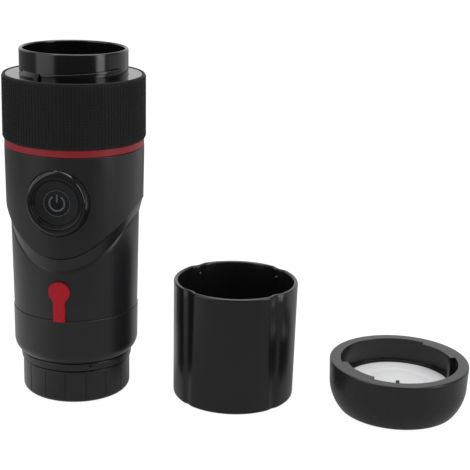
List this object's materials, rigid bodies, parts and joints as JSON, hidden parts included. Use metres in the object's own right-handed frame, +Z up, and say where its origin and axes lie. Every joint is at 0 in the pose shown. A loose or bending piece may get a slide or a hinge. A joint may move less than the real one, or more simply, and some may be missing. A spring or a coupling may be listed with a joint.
{
  "type": "portable capsule coffee machine",
  "caption": "Hand-held capsule coffee machine with a rubber grip, press button, capped power inlet and bayonet capsule holder, with its fluted cup and its tank lid set down beside it.",
  "frame": {"origin": "centre of the capsule holder's foot, on the floor and on the machine's axis", "axes": "+Z up along the machine's axis; -Y is the front, the side of the button and power inlet; +X runs from the machine to the cup and the lid"},
  "size_m": [0.2702, 0.0839, 0.2007],
  "materials": {
    "shell_abs": "satin moulded",
    "lid_abs": "fine matt moulded",
    "gloss_abs": "gloss moulded",
    "button_abs": "satin moulded",
    "smoked_lens": "smoked clear",
    "grip_rubber": "dotted matt",
    "accent_red": "satin gloss",
    "red_silicone": "satin",
    "white_silicone": "satin",
    "clear_silicone": "translucent",
    "tank_steel": "drawn",
    "screw_steel": "zinc plated",
    "motor_steel": "plated can",
    "cast_aluminium": "as cast",
    "dark_nylon": "moulded",
    "grey_nylon": "moulded",
    "pale_nylon": "moulded",
    "board_laminate": "solder mask",
    "red_pvc": "insulated lead"
  },
  "bodies": {
    "machine": {"grip_sleeve": "grip_rubber", "accent_ring": "accent_red", "upper_shell": "shell_abs", "lower_shell": "shell_abs", "base_collar": "shell_abs", "brew_flange": "shell_abs", "top_plate": "gloss_abs", "tank_neck": "gloss_abs", "tank_gasket": "clear_silicone", "water_tank": "tank_steel", "heater_plate": "cast_aluminium", "thermostat": "pale_nylon", "button_bezel": "gloss_abs", "tact_switch": "dark_nylon", "control_board": "board_laminate", "board_screws": "screw_steel", "dc_jack": "dark_nylon", "supply_leads": "red_pvc", "cover_root": "red_silicone", "pump_bracket": "grey_nylon", "pump_head": "dark_nylon", "pump_motor": "motor_steel", "water_hose": "clear_silicone", "nozzle_seal": "clear_silicone", "piercing_plate": "tank_steel", "brew_seal": "clear_silicone", "flange_screws": "screw_steel"},
    "button": {"power_button": "button_abs", "button_lens": "smoked_lens", "switch_plunger": "pale_nylon"},
    "cover": {"port_cover": "red_silicone"},
    "holder": {"capsule_holder": "shell_abs", "outlet_sieve": "tank_steel"},
    "cup": {"cup": "gloss_abs"},
    "lid": {"lid_shell": "lid_abs", "lid_seal": "white_silicone", "vent_pin": "dark_nylon"}
  },
  "joints": [
    {"name": "button_press", "type": "slide", "parent": "machine", "child": "button", "axis": [0, 1, 0], "range_m": [0, 0.0008], "stiffness_N_per_m": 2000},
    {"name": "cover_swing", "type": "hinge", "parent": "machine", "child": "cover", "pos_m": [0, -0.03675, 0.0523], "axis": [1, 0, 0], "range_deg": [0, 100], "stiffness_Nm_per_rad": 0.002},
    {"name": "holder_twist", "type": "hinge", "parent": "machine", "child": "holder", "pos_m": [0, 0, 0.0265], "axis": [0, 0, 1], "range_deg": [0, 40]},
    {"name": "cup_lift", "type": "slide", "parent": "machine", "child": "cup", "axis": [0, 0, 1], "range_m": [0, 0.08]},
    {"name": "lid_lift", "type": "slide", "parent": "machine", "child": "lid", "axis": [0, 0, 1], "range_m": [0, 0.05]}
  ]
}
